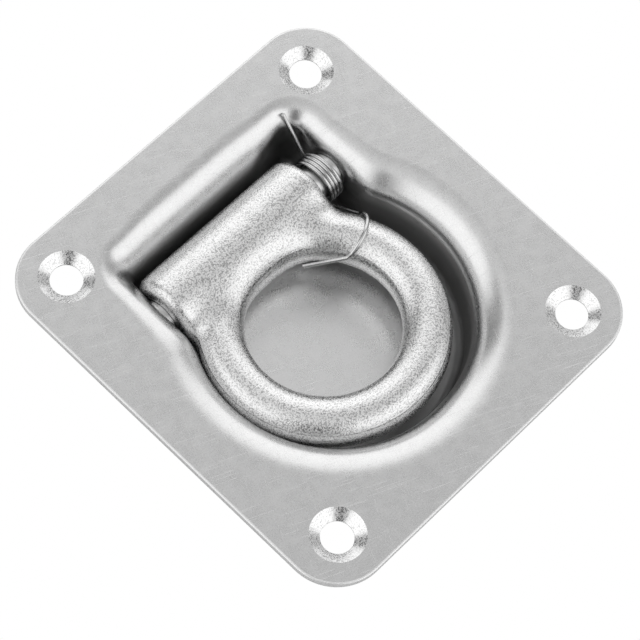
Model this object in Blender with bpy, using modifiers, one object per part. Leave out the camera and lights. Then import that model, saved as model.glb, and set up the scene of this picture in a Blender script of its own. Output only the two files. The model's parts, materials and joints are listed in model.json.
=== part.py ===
"""Recessed lashing ring: pressed pan, forged ring, pivot pin and torsion spring.

Metres, +Z up. The origin is the centre of the pan's underside. The ring's hinge runs along X near the
rear (+Y) wall of the recess, and the ring lies towards -Y. The spring sits on the pin at the +X end.
"""

import bmesh
import bpy
import numpy as np
from math import asin, atan2, ceil, cos, hypot, pi, radians, sin, sqrt, tan
from mathutils import Vector

MM = 0.001

# Pressed pan
FLANGE_SIDE = 10.3
FLANGE_END = 9.5
PLATE_CORNER_RADIUS = 14.0
SHEET = 2.4
BOLT_TO_SIDE = 13.5
BOLT_TO_END = 12.75
BOLT_HOLE_DIAMETER = 8.5
COUNTERSINK_DIAMETER = 14.4
COUNTERSINK_ANGLE = 109.0

# Forged ring
EYE_DIAMETER = 39.8
BAR_DIAMETER = 13.0
BARREL_DIAMETER = 20.4
BARREL_LENGTH = 52.2
BARREL_OFF_CENTRE = 0.6
BARREL_EDGE_RADIUS = 2.7
NECK_BLEND = 5.0
RING_CENTRE_TO_PIN = 31.0
REST_LIFT = 4.0

# Pivot pin
PIN_DIAMETER = 10.0
PIN_HEAD_DIAMETER = 11.4
PIN_HEAD_THICKNESS = 2.4
PIN_EDGE_RADIUS = 0.9

# Torsion spring
WIRE_DIAMETER = 1.1
COIL_INNER_DIAMETER = 11.6
COIL_PITCH = 1.13
COIL_FULL_TURNS = 4
HOOK_LEG_RISE = 36.0
REAR_LEG_PAST_SHOULDER = 1.7
REAR_LEG_IN_CORNER = 2.0

# Clearances
BORE_CLEARANCE = 0.3
WALL_HOLE_CLEARANCE = 0.3
BARREL_FLOOR_CLEARANCE = 0.8
REAR_CLEARANCE = 4.5
FRONT_CLEARANCE = 3.4
ROUND_CLEARANCE = 3.8
PLAIN_SIDE_CLEARANCE = 2.0
COIL_TO_WALL = 1.0
REAR_LEG_CLEARANCE = 0.5
SEAT_GAP = 0.3

# Recess
BARREL_BELOW_PLATE = 0.8
OUTLINE_DEPTH = 6.5
CORNER_SHOULDER_RADIUS = 6.5
REAR_SHOULDER_RADIUS = 8.0
FRONT_SHOULDER_RADIUS = 9.5
REAR_SHOULDER_RUN = 16.0
SIDE_SHOULDER_RUN = 32.0
FLOOR_RADIUS = 3.0
WALL_DRAFT = 4.0
REAR_CORNER_AT_FLOOR = 0.12
WAIST_RADIUS = 18.0
SPRING_SIDE_ROOM = 8.8

# Worked out from the sizes above
BAR_RADIUS = BAR_DIAMETER / 2
RING_RADIUS = EYE_DIAMETER / 2 + BAR_RADIUS
BARREL_RADIUS = BARREL_DIAMETER / 2
PIN_RADIUS = PIN_DIAMETER / 2
WIRE_RADIUS = WIRE_DIAMETER / 2
COIL_RADIUS = COIL_INNER_DIAMETER / 2 + WIRE_RADIUS
PIN_DEPTH = BARREL_BELOW_PLATE + BARREL_RADIUS
RECESS_DEPTH = PIN_DEPTH + BARREL_RADIUS + BARREL_FLOOR_CLEARANCE
FLOOR_FILLET_DEPTH = RECESS_DEPTH - FLOOR_RADIUS
FLOOR_INSET = (
    (FLOOR_FILLET_DEPTH - OUTLINE_DEPTH) * tan(radians(WALL_DRAFT)) + FLOOR_RADIUS / cos(radians(WALL_DRAFT))
)
REAR_CORNER_RADIUS = FLOOR_INSET + REAR_CORNER_AT_FLOOR
HEIGHT = RECESS_DEPTH + SHEET
PIN_Z = HEIGHT - PIN_DEPTH
SIDE_WALL = (PLAIN_SIDE_CLEARANCE + BARREL_LENGTH + SPRING_SIDE_ROOM) / 2
BARREL_CENTRE_X = -SIDE_WALL + PLAIN_SIDE_CLEARANCE + BARREL_LENGTH / 2
EYE_CENTRE_X = BARREL_CENTRE_X + BARREL_OFF_CENTRE
BARREL_END_X = BARREL_CENTRE_X + BARREL_LENGTH / 2
RECESS_LENGTH = (
    REAR_CLEARANCE + BARREL_RADIUS + RING_CENTRE_TO_PIN + RING_RADIUS + BAR_RADIUS + FRONT_CLEARANCE
)
REAR_WALL = RECESS_LENGTH / 2
FRONT_WALL = -RECESS_LENGTH / 2
FRONT_ROUND_RADIUS = RING_RADIUS + BAR_RADIUS + ROUND_CLEARANCE
FRONT_ROUND_Y = FRONT_WALL + FRONT_ROUND_RADIUS
PLATE_WIDTH = 2 * (FRONT_ROUND_RADIUS + FRONT_SHOULDER_RADIUS + FLANGE_SIDE)
PLATE_LENGTH = RECESS_LENGTH + 2 * (FRONT_SHOULDER_RADIUS + FLANGE_END)
BOLT_X = PLATE_WIDTH / 2 - BOLT_TO_SIDE
BOLT_Y = PLATE_LENGTH / 2 - BOLT_TO_END
PIN_Y = REAR_WALL - REAR_CLEARANCE - BARREL_RADIUS
RING_Y = PIN_Y - RING_CENTRE_TO_PIN

# Facets
REAR_WALL_STEPS = 5
CORNER_STEPS = 5
SIDE_WALL_STEPS = 4
WAIST_STEPS = 5
FRONT_ROUND_STEPS = 17
SHOULDER_STEPS = 7
FLOOR_STEPS = 4
PLATE_CORNER_STEPS = 8
ROUND_STEPS = 32
RING_SECTION_POINTS = 24
BARREL_SECTIONS = 6
NECK_SECTIONS = 15
BAR_SECTIONS = 20
COIL_STEPS_PER_TURN = 20
HOOK_STEPS = 4
WIRE_BEVEL_RESOLUTION = 2
SMOOTH_ANGLE = radians(35.0)


def clear_scene():
    """Removes whatever the open file holds."""
    for obj in list(bpy.data.objects):
        bpy.data.objects.remove(obj, do_unlink=True)


def new_collection(name, hidden=False):
    """A collection under the scene's own. Cutters go in one that isn't rendered."""
    collection = bpy.data.collections.new(name)
    collection.hide_render = hidden
    bpy.context.scene.collection.children.link(collection)
    return collection


def metal(name, colour, roughness):
    """A plain metal with one colour and one roughness."""
    material = bpy.data.materials.new(name)
    material.use_nodes = True
    shader = material.node_tree.nodes["Principled BSDF"]
    shader.inputs["Base Color"].default_value = (*colour, 1.0)
    shader.inputs["Metallic"].default_value = 1.0
    shader.inputs["Roughness"].default_value = roughness
    return material


def add_object(name, data, collection, material=None):
    """Links an object that holds the given mesh or curve."""
    obj = bpy.data.objects.new(name, data)
    collection.objects.link(obj)
    if material:
        data.materials.append(material)
    return obj


def add_cutter(name, data, collection):
    """An object that only cuts: drawn as wire, never rendered."""
    cutter = add_object(name, data, collection)
    cutter.display_type = "WIRE"
    cutter.hide_render = True
    return cutter


def cut(obj, cutter):
    """Subtracts the cutter from the object."""
    boolean = obj.modifiers.new("cut_" + cutter.name, "BOOLEAN")
    boolean.operation = "DIFFERENCE"
    boolean.solver = "EXACT"
    boolean.object = cutter


def smooth(mesh):
    """Smooth shading, with sharp edges kept where the surface really turns."""
    mesh.shade_smooth()
    mesh.set_sharp_from_angle(angle=SMOOTH_ANGLE)


def arc(centre, radius, start, end, steps):
    """Points along an arc in plan, both ends included. Angles are in radians."""
    return [
        (
            centre[0] + radius * cos(start + (end - start) * i / steps),
            centre[1] + radius * sin(start + (end - start) * i / steps),
        )
        for i in range(steps + 1)
    ]


def mirrored_loop(right_side):
    """Closes a run of points from the rear centre to the front centre with its mirror image."""
    left_side = [(-point[0], *point[1:]) for point in reversed(right_side[1:-1])]
    return right_side + left_side


def ease(share):
    """Goes smoothly from 0 to 1 while the share does."""
    share = min(max(share, 0.0), 1.0)
    return share * share * (3.0 - 2.0 * share)


def directed_arc(centre, radius, start, end, steps, outward=1):
    """(point, outward direction) along an arc. Outward is -1 where the recess lies outside the arc."""
    points = arc(centre, radius, start, end, steps)
    directions = arc((0.0, 0.0), outward, start, end, steps)
    return list(zip(points, directions))


def recess_outline():
    """The recess in plan at OUTLINE_DEPTH: (point, outward direction) from the rear centre to the front.

    Rear wall, rear corner, side wall, waist (an arc that curves outwards) and the round front. The
    waist arc is tangent to the side wall and to the front round.
    """
    corner = (SIDE_WALL - REAR_CORNER_RADIUS, REAR_WALL - REAR_CORNER_RADIUS)
    waist_x = SIDE_WALL + WAIST_RADIUS
    waist_rise = sqrt((FRONT_ROUND_RADIUS + WAIST_RADIUS) ** 2 - waist_x**2)
    turn = atan2(waist_rise, waist_x)
    waist_y = FRONT_ROUND_Y + waist_rise
    outline = [((corner[0] * i / REAR_WALL_STEPS, REAR_WALL), (0.0, 1.0)) for i in range(REAR_WALL_STEPS)]
    outline += directed_arc(corner, REAR_CORNER_RADIUS, pi / 2, 0.0, CORNER_STEPS)
    for i in range(1, SIDE_WALL_STEPS):
        y = corner[1] + (waist_y - corner[1]) * i / SIDE_WALL_STEPS
        outline.append(((SIDE_WALL, y), (1.0, 0.0)))
    outline += directed_arc((waist_x, waist_y), WAIST_RADIUS, pi, pi + turn, WAIST_STEPS, outward=-1)
    front = (0.0, FRONT_ROUND_Y)
    outline += directed_arc(front, FRONT_ROUND_RADIUS, turn, -pi / 2, FRONT_ROUND_STEPS)[1:]
    return outline


def shoulder_radius(x, y):
    """The shoulder is tightest at the rear corners, and rounder along the rear wall and round the front."""
    corner_x = SIDE_WALL - REAR_CORNER_RADIUS
    corner_y = REAR_WALL - REAR_CORNER_RADIUS
    if y > corner_y:
        share = ease((corner_x - abs(x)) / REAR_SHOULDER_RUN)
        return CORNER_SHOULDER_RADIUS + share * (REAR_SHOULDER_RADIUS - CORNER_SHOULDER_RADIUS)
    share = ease((corner_y - y) / SIDE_SHOULDER_RUN)
    return CORNER_SHOULDER_RADIUS + share * (FRONT_SHOULDER_RADIUS - CORNER_SHOULDER_RADIUS)


def shoulder_offset(radius):
    """How far outside the outline a shoulder of this radius has its centre."""
    draft = radians(WALL_DRAFT)
    return radius / cos(draft) - (radius - OUTLINE_DEPTH) * tan(draft)


def plate_loop():
    """The plate's outer edge: a rectangle with rounded corners."""
    x = PLATE_WIDTH / 2 - PLATE_CORNER_RADIUS
    y = PLATE_LENGTH / 2 - PLATE_CORNER_RADIUS
    rear = arc((x, y), PLATE_CORNER_RADIUS, pi / 2, 0.0, PLATE_CORNER_STEPS)
    front = arc((x, -y), PLATE_CORNER_RADIUS, 0.0, -pi / 2, PLATE_CORNER_STEPS)
    return mirrored_loop([(0.0, y + PLATE_CORNER_RADIUS)] + rear + front + [(0.0, -y - PLATE_CORNER_RADIUS)])


def recess_profile(radius):
    """(inset, depth) down the recess: the shoulder's arc, the drafted wall and the floor fillet's arc."""
    draft = radians(WALL_DRAFT)
    profile = []
    for i in range(SHOULDER_STEPS + 1):
        slope = (pi / 2 - draft) * i / SHOULDER_STEPS
        profile.append((radius * sin(slope) - shoulder_offset(radius), radius * (1 - cos(slope))))
    for i in range(FLOOR_STEPS + 1):
        slope = draft + (pi / 2 - draft) * i / FLOOR_STEPS
        inset = FLOOR_INSET - FLOOR_RADIUS * cos(slope)
        profile.append((inset, FLOOR_FILLET_DEPTH + FLOOR_RADIUS * sin(slope)))
    return profile


def recess_loops():
    """Closed runs of (x, y, z) points round the recess, from the flange down to the floor."""
    outline = recess_outline()
    profiles = [recess_profile(shoulder_radius(x, y)) for (x, y), _ in outline]
    loops = []
    for step in range(len(profiles[0])):
        right_side = []
        for ((x, y), (out_x, out_y)), profile in zip(outline, profiles):
            inset, depth = profile[step]
            right_side.append((x - inset * out_x, y - inset * out_y, HEIGHT - depth))
        loops.append(mirrored_loop(right_side))
    return loops


def add_loop(bm, points):
    """Vertices at the points."""
    return [bm.verts.new((x * MM, y * MM, z * MM)) for x, y, z in points]


def join_loops(bm, upper, lower):
    """Four-sided faces between two loops with as many points."""
    for i in range(len(upper)):
        j = (i + 1) % len(upper)
        bm.faces.new((upper[i], upper[j], lower[j], lower[i]))


def pan_surface():
    """The pan's upper surface, open at the plate's edge: flange, shoulder, wall, fillet and floor."""
    bm = bmesh.new()
    loops = [add_loop(bm, points) for points in recess_loops()]
    for upper, lower in zip(loops, loops[1:]):
        join_loops(bm, upper, lower)
    bm.faces.new(loops[-1])
    edge = add_loop(bm, [(x, y, HEIGHT) for x, y in plate_loop()])
    rim = loops[0]
    border = [bm.edges.new((edge[i - 1], edge[i])) for i in range(len(edge))]
    border += [bm.edges.get((rim[i - 1], rim[i])) for i in range(len(rim))]
    bmesh.ops.triangle_fill(bm, use_beauty=True, use_dissolve=False, edges=border)
    bmesh.ops.recalc_face_normals(bm, faces=bm.faces)
    bm.faces.ensure_lookup_table()
    flange = max(bm.faces, key=lambda face: face.calc_center_median().z)
    if flange.normal.z < 0:
        bmesh.ops.reverse_faces(bm, faces=bm.faces)
    mesh = bpy.data.meshes.new("pan")
    bm.to_mesh(mesh)
    bm.free()
    return mesh


def turned_cutter(name, profile, collection):
    """A cutter turned about Z from (radius, height) points that start and end on the axis."""
    mesh = bpy.data.meshes.new(name)
    points = [(radius * MM, 0.0, height * MM) for radius, height in profile]
    mesh.from_pydata(points, [(i, i + 1) for i in range(len(points) - 1)], [])
    cutter = add_cutter(name, mesh, collection)
    turn(cutter)
    return cutter


def turn(obj):
    """Turns the profile in the object's XZ plane about its Z axis."""
    screw = obj.modifiers.new("turn", "SCREW")
    screw.steps = ROUND_STEPS
    screw.render_steps = ROUND_STEPS
    screw.use_merge_vertices = True
    screw.merge_threshold = 0.00001


def cut_bolt_holes(pan, cutters):
    """Four countersunk holes on the bolt rectangle, from above."""
    hole = BOLT_HOLE_DIAMETER / 2
    mouth = COUNTERSINK_DIAMETER / 2
    flare = tan(radians(COUNTERSINK_ANGLE / 2))
    profile = [
        (0.0, SHEET),
        (mouth + SHEET * flare, SHEET),
        (hole, -(mouth - hole) / flare),
        (hole, -2 * SHEET),
        (0.0, -2 * SHEET),
    ]
    for x in (-1, 1):
        for y in (-1, 1):
            name = f"bolt_hole_{'left' if x < 0 else 'right'}_{'front' if y < 0 else 'rear'}"
            cutter = turned_cutter(name, profile, cutters)
            cutter.location = (x * BOLT_X * MM, y * BOLT_Y * MM, HEIGHT * MM)
            cut(pan, cutter)


def pin_line_cutter(name, diameter, length, collection):
    """A round cutter along the pin's line."""
    bm = bmesh.new()
    bmesh.ops.create_cone(
        bm,
        cap_ends=True,
        segments=ROUND_STEPS,
        radius1=diameter / 2 * MM,
        radius2=diameter / 2 * MM,
        depth=length * MM,
    )
    mesh = bpy.data.meshes.new(name)
    bm.to_mesh(mesh)
    bm.free()
    cutter = add_cutter(name, mesh, collection)
    cutter.rotation_euler = (0.0, pi / 2, 0.0)
    cutter.location = (0.0, PIN_Y * MM, PIN_Z * MM)
    return cutter


def make_pan(parts, cutters):
    """The pressed plate: its upper surface thickened downwards, then pierced for bolts and pin."""
    mesh = pan_surface()
    smooth(mesh)
    pan = add_object("pan", mesh, parts, metal("zinc_plate", (0.72, 0.72, 0.73), 0.35))
    solidify = pan.modifiers.new("sheet", "SOLIDIFY")
    solidify.thickness = SHEET * MM
    solidify.offset = -1.0
    solidify.use_even_offset = True
    solidify.use_quality_normals = True
    cut_bolt_holes(pan, cutters)
    hole = pin_line_cutter(
        "wall_holes", PIN_DIAMETER + 2 * WALL_HOLE_CLEARANCE, 2 * SIDE_WALL + 6 * SHEET, cutters
    )
    cut(pan, hole)
    return pan


def ring_distance(points):
    """Distance to the forging's surface from points in the ring's own frame, negative inside.

    The bar is a torus about the eye, the barrel a cylinder with rounded edges along X, and the two run
    into each other over NECK_BLEND.
    """
    x, y, z = points[..., 0], points[..., 1], points[..., 2]
    bar = np.hypot(np.hypot(x, y) - RING_RADIUS, z) - BAR_RADIUS
    across = np.hypot(y - RING_CENTRE_TO_PIN, z) - (BARREL_RADIUS - BARREL_EDGE_RADIUS)
    along = np.abs(x + BARREL_OFF_CENTRE) - (BARREL_LENGTH / 2 - BARREL_EDGE_RADIUS)
    outside = np.hypot(np.maximum(across, 0.0), np.maximum(along, 0.0))
    barrel = np.minimum(np.maximum(across, along), 0.0) + outside - BARREL_EDGE_RADIUS
    share = np.clip(0.5 + 0.5 * (barrel - bar) / NECK_BLEND, 0.0, 1.0)
    return barrel + (bar - barrel) * share - NECK_BLEND * share * (1.0 - share)


def ring_angles():
    """Angles round the eye from the rear, close together where the bar meets the barrel's ends."""
    far_corner = atan2(BARREL_LENGTH / 2, RING_CENTRE_TO_PIN + BARREL_RADIUS)
    near_corner = atan2(BARREL_LENGTH / 2, RING_CENTRE_TO_PIN - BARREL_RADIUS)
    spans = [
        (0.0, far_corner - radians(5.0), BARREL_SECTIONS),
        (far_corner - radians(5.0), near_corner + radians(6.0), NECK_SECTIONS),
        (near_corner + radians(6.0), pi, BAR_SECTIONS),
    ]
    half = [start + (end - start) * i / steps for start, end, steps in spans for i in range(steps)]
    return half + [pi] + [2 * pi - angle for angle in reversed(half[1:])]


def section_centre(angle):
    """Distance from the eye's centre to the middle of the section: on the barrel's axis at the rear,
    on the bar's centre line elsewhere."""
    from_rear = min(angle, 2 * pi - angle)
    near_corner = atan2(BARREL_LENGTH / 2, RING_CENTRE_TO_PIN - BARREL_RADIUS)
    share = min(max((from_rear / near_corner - 0.5) / 0.5, 0.0), 1.0)
    share = share * share * (3.0 - 2.0 * share)
    on_barrel = RING_CENTRE_TO_PIN / cos(min(from_rear, near_corner))
    return (1.0 - share) * on_barrel + share * RING_RADIUS


def ring_sections():
    """Closed sections of the forging in planes through the eye's axis, each point on its surface."""
    angles = np.array(ring_angles())
    turns = np.arange(RING_SECTION_POINTS) * 2 * pi / RING_SECTION_POINTS
    outwards = np.stack([np.sin(angles), np.cos(angles), np.zeros(len(angles))], axis=-1)
    centres = outwards * np.array([section_centre(angle) for angle in angles])[:, None]
    upwards = np.array([0.0, 0.0, 1.0])
    rays = np.cos(turns)[None, :, None] * outwards[:, None, :] + np.sin(turns)[None, :, None] * upwards
    inner = np.zeros(rays.shape[:2])
    outer = np.full(rays.shape[:2], BARREL_LENGTH)
    for _ in range(40):
        middle = (inner + outer) / 2
        inside = ring_distance(centres[:, None, :] + middle[..., None] * rays) < 0
        inner = np.where(inside, middle, inner)
        outer = np.where(inside, outer, middle)
    return centres[:, None, :] + inner[..., None] * rays


def ring_surface():
    """The forging as a loft through its sections."""
    bm = bmesh.new()
    shift = np.array([0.0, -RING_CENTRE_TO_PIN, 0.0])
    loops = [
        [bm.verts.new(tuple((point + shift) * MM)) for point in section] for section in ring_sections()
    ]
    for section, following in zip(loops, loops[1:] + loops[:1]):
        join_loops(bm, section, following)
    bmesh.ops.recalc_face_normals(bm, faces=bm.faces)
    mesh = bpy.data.meshes.new("ring")
    bm.to_mesh(mesh)
    bm.free()
    return mesh


def make_ring(parts, cutters):
    """The forged ring, with its origin on the hinge line, bored through for the pin."""
    mesh = ring_surface()
    smooth(mesh)
    ring = add_object("ring", mesh, parts, metal("forged_zinc", (0.78, 0.78, 0.77), 0.45))
    ring.location = (EYE_CENTRE_X * MM, PIN_Y * MM, PIN_Z * MM)
    ring.rotation_euler = (-radians(REST_LIFT), 0.0, 0.0)
    bore = pin_line_cutter(
        "barrel_bore", PIN_DIAMETER + 2 * BORE_CLEARANCE, 2 * BARREL_LENGTH, cutters
    )
    cut(ring, bore)
    return ring


def pin_head_seat():
    """How far out the pin's heads start, so that their upper edge clears the shoulder's underside."""
    radius = shoulder_radius(SIDE_WALL, PIN_Y)
    rise = max(radius - PIN_DEPTH + PIN_HEAD_DIAMETER / 2, 0.0)
    return SIDE_WALL + shoulder_offset(radius) - sqrt((radius - SHEET) ** 2 - rise**2) + SEAT_GAP


def make_pin(parts):
    """The pivot pin: a shaft through both walls, with a flat head on the left and a peened end on the
    right, both against the outside of the pan. The profile is turned about X."""
    wall = pin_head_seat()
    head = PIN_HEAD_DIAMETER / 2
    rounding = [
        (head - PIN_EDGE_RADIUS * (1 - cos(pi / 2 * i / 3)), PIN_EDGE_RADIUS * sin(pi / 2 * i / 3))
        for i in range(4)
    ]
    full = wall + PIN_HEAD_THICKNESS
    left = [(radius, -(full - PIN_EDGE_RADIUS) - rise) for radius, rise in rounding]
    right = [(radius, full - PIN_EDGE_RADIUS + rise) for radius, rise in reversed(rounding)]
    profile = [(0.0, full)] + right + [(head, wall), (PIN_RADIUS, wall)]
    profile += [(PIN_RADIUS, -wall), (head, -wall)] + left + [(0.0, -full)]
    mesh = bpy.data.meshes.new("pivot_pin")
    points = [(radius * MM, 0.0, along * MM) for radius, along in profile]
    mesh.from_pydata(points, [(i, i + 1) for i in range(len(points) - 1)], [])
    pin = add_object("pivot_pin", mesh, parts, metal("zinc_pin", (0.66, 0.66, 0.67), 0.3))
    pin.rotation_euler = (0.0, pi / 2, 0.0)
    pin.location = (0.0, PIN_Y * MM, PIN_Z * MM)
    turn(pin)
    return pin


def rear_leg_tip():
    """Slope of the rear leg in radians, and its tip on the wire's centre line.

    The leg is a straight tangent from under the coil to the rear shoulder's round, where that turns
    into the corner, and its tip lies a little past the point where it touches.
    """
    round_corner = REAR_CORNER_RADIUS + shoulder_offset(CORNER_SHOULDER_RADIUS)
    shoulder_y = REAR_WALL - REAR_CORNER_RADIUS + sqrt(round_corner**2 - REAR_LEG_IN_CORNER**2)
    shoulder_z = HEIGHT - CORNER_SHOULDER_RADIUS
    standoff = CORNER_SHOULDER_RADIUS + REAR_LEG_CLEARANCE + WIRE_RADIUS
    rise = atan2(shoulder_z - PIN_Z, shoulder_y - PIN_Y)
    span = hypot(shoulder_y - PIN_Y, shoulder_z - PIN_Z)
    slope = rise + asin((COIL_RADIUS + standoff) / span)
    tip_y = shoulder_y - standoff * sin(slope) + REAR_LEG_PAST_SHOULDER * cos(slope)
    tip_z = shoulder_z + standoff * cos(slope) + REAR_LEG_PAST_SHOULDER * sin(slope)
    return slope, Vector((SIDE_WALL - REAR_CORNER_RADIUS + REAR_LEG_IN_CORNER, tip_y, tip_z))


def rear_leg_and_coil():
    """The rear leg's tip, then the coil's turns from the pan wall towards the barrel."""
    wall_side = SIDE_WALL - COIL_TO_WALL - WIRE_RADIUS
    slope, tip = rear_leg_tip()
    start = slope - pi / 2
    finish = -pi / 2 - radians(HOOK_LEG_RISE) - 2 * pi * COIL_FULL_TURNS
    steps = ceil((start - finish) / (2 * pi) * COIL_STEPS_PER_TURN)
    coil = []
    for i in range(steps + 1):
        angle = start + (finish - start) * i / steps
        across = wall_side + COIL_PITCH * (angle - start) / (2 * pi)
        coil.append(Vector((across, PIN_Y + COIL_RADIUS * cos(angle), PIN_Z + COIL_RADIUS * sin(angle))))
    return [tip] + coil


def beside_bar(azimuth, round_bar, standoff):
    """A point at a distance from the bar's centre line: azimuth is the angle round the eye from +X,
    round_bar the angle round the bar, 0 outside, 90 on top, 180 inside the eye."""
    radius = RING_RADIUS + standoff * cos(radians(round_bar))
    along = radius * sin(radians(azimuth)) - RING_CENTRE_TO_PIN
    above = standoff * sin(radians(round_bar))
    lift = radians(REST_LIFT)
    return Vector(
        (
            EYE_CENTRE_X + radius * cos(radians(azimuth)),
            PIN_Y + along * cos(lift) + above * sin(lift),
            PIN_Z - along * sin(lift) + above * cos(lift),
        )
    )


def hook():
    """Points on the hook: from beside the neck, over the bar and down inside the eye, then its tip."""
    touching = BAR_RADIUS + SEAT_GAP + WIRE_RADIUS
    bend = [
        beside_bar(28.0, 2.0, touching + 0.5),
        beside_bar(26.4, 26.0, touching + 0.1),
        beside_bar(23.0, 56.0, touching),
        beside_bar(20.9, 88.0, touching),
        beside_bar(21.0, 116.0, touching),
        beside_bar(23.2, 141.0, touching),
        beside_bar(27.2, 160.0, touching + 0.1),
    ]
    return bend, beside_bar(61.8, 174.0, touching + 1.5)


def rounded_bend(before, points, after, steps):
    """A smooth curve through the points that leaves towards before and after in straight lines."""
    lead_in = points[0] + (before - points[0]).normalized() * (points[1] - points[0]).length
    lead_out = points[-1] + (after - points[-1]).normalized() * (points[-1] - points[-2]).length
    padded = [lead_in] + points + [lead_out]
    curve = []
    for a, b, c, d in zip(padded, padded[1:], padded[2:], padded[3:]):
        for i in range(steps):
            t = i / steps
            bend = (2 * a - 5 * b + 4 * c - d) * t**2 + (3 * b - a - 3 * c + d) * t**3
            curve.append(0.5 * (2 * b + (c - a) * t + bend))
    return curve + [points[-1]]


def wire_object(name, points, collection, material):
    """A round wire along the points, closed at both ends."""
    curve = bpy.data.curves.new(name, "CURVE")
    curve.dimensions = "3D"
    curve.bevel_depth = WIRE_RADIUS * MM
    curve.bevel_resolution = WIRE_BEVEL_RESOLUTION
    curve.use_fill_caps = True
    spline = curve.splines.new("POLY")
    spline.points.add(len(points) - 1)
    for target, point in zip(spline.points, points):
        target.co = (point[0] * MM, point[1] * MM, point[2] * MM, 1.0)
    return add_object(name, curve, collection, material)


def make_spring(parts):
    """The torsion spring, one wire from the rear leg's tip to the hook's tip."""
    leg_and_coil = rear_leg_and_coil()
    bend, tip = hook()
    points = leg_and_coil + rounded_bend(leg_and_coil[-1], bend, tip, HOOK_STEPS) + [tip]
    return wire_object("torsion_spring", points, parts, metal("spring_wire", (0.45, 0.45, 0.46), 0.3))


def main():
    clear_scene()
    parts = new_collection("lashing_ring")
    cutters = new_collection("cutters", hidden=True)
    make_pan(parts, cutters)
    make_ring(parts, cutters)
    make_pin(parts)
    make_spring(parts)


main()
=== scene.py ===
"""Recessed lashing ring, finished to match its photograph.

A pressed zinc plate with a deep recess carries a forged ring on a pivot pin, and a torsion spring on the pin
keeps the ring down. Lengths are in metres in the row frame: +Z is up, the hinge runs along X near the +Y
wall of the recess, the ring lies towards -Y and the spring sits at the +X end of the pin.
"""

import json
import logging
from dataclasses import dataclass
from enum import Enum, IntEnum
from math import asin, atan2, ceil, cos, hypot, pi, radians, sin, sqrt, tan
from typing import Mapping, Sequence, Union

import bmesh
import bpy
import numpy as np
from mathutils import Matrix, Vector, noise


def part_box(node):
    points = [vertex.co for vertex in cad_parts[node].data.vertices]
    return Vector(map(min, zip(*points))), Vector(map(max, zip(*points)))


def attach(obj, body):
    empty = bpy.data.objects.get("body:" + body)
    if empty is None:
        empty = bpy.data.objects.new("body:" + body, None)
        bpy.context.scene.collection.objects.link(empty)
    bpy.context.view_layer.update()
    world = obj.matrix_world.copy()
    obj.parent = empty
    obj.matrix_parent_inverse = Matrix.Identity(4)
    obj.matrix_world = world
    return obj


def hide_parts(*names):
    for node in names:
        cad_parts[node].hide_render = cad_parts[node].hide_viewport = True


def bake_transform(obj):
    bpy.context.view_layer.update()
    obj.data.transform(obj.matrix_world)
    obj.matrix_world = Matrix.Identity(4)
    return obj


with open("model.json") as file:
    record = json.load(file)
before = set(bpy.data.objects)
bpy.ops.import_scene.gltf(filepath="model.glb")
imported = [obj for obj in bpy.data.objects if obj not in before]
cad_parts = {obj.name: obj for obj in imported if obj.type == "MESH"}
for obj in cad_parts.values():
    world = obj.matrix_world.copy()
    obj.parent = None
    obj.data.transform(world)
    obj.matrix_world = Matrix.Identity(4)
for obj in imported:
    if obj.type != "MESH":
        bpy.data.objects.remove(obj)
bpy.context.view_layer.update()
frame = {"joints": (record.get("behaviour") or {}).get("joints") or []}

MM = 0.001
PHOTO_WIDTH_PX = 640
SENSOR_WIDTH_MM = 36.0
DRILL_SIDES = 128

log = logging.getLogger("lashing_ring")

PointInPlan = tuple[float, float]
DirectedPoint = tuple[PointInPlan, PointInPlan]
Colour = tuple[float, float, float, float]
Loop = list[bmesh.types.BMVert]


def grey(level: float) -> Colour:
    """A neutral colour of one brightness."""
    return (level, level, level, 1.0)


class Body(Enum):
    """The two moving groups of the part."""

    PAN = "pan_body"
    RING = "ring_body"


class Slot(Enum):
    """The finishes that the part's record names."""

    PLATE = "zinc_plate"
    FORGING = "forged_zinc"
    PIN = "zinc_pin"
    WIRE = "spring_wire"


class PanFace(IntEnum):
    """The pan's material slots."""

    UPPER = 0
    CONE = 1
    EDGE = 2
    UNDERSIDE = 3


class Signal:
    """A shader socket with numbers in it. Python's operators on it stand for Math nodes."""

    def __init__(self, graph: "Graph", socket: bpy.types.NodeSocket) -> None:
        """Keeps the socket and the graph that it belongs to."""
        self.graph = graph
        self.socket = socket

    def __add__(self, other: "Number") -> "Signal":
        """Sum."""
        return self.graph.math("ADD", self, other)

    def __radd__(self, other: "Number") -> "Signal":
        """Sum with a plain number first."""
        return self.graph.math("ADD", other, self)

    def __sub__(self, other: "Number") -> "Signal":
        """Difference."""
        return self.graph.math("SUBTRACT", self, other)

    def __rsub__(self, other: "Number") -> "Signal":
        """Difference from a plain number."""
        return self.graph.math("SUBTRACT", other, self)

    def __mul__(self, other: "Number") -> "Signal":
        """Product."""
        return self.graph.math("MULTIPLY", self, other)

    def __rmul__(self, other: "Number") -> "Signal":
        """Product with a plain number first."""
        return self.graph.math("MULTIPLY", other, self)

    def __pow__(self, other: "Number") -> "Signal":
        """Power."""
        return self.graph.math("POWER", self, other)

    def __abs__(self) -> "Signal":
        """Absolute value."""
        return self.graph.math("ABSOLUTE", self, 0.0)


Number = Union[Signal, float]


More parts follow.
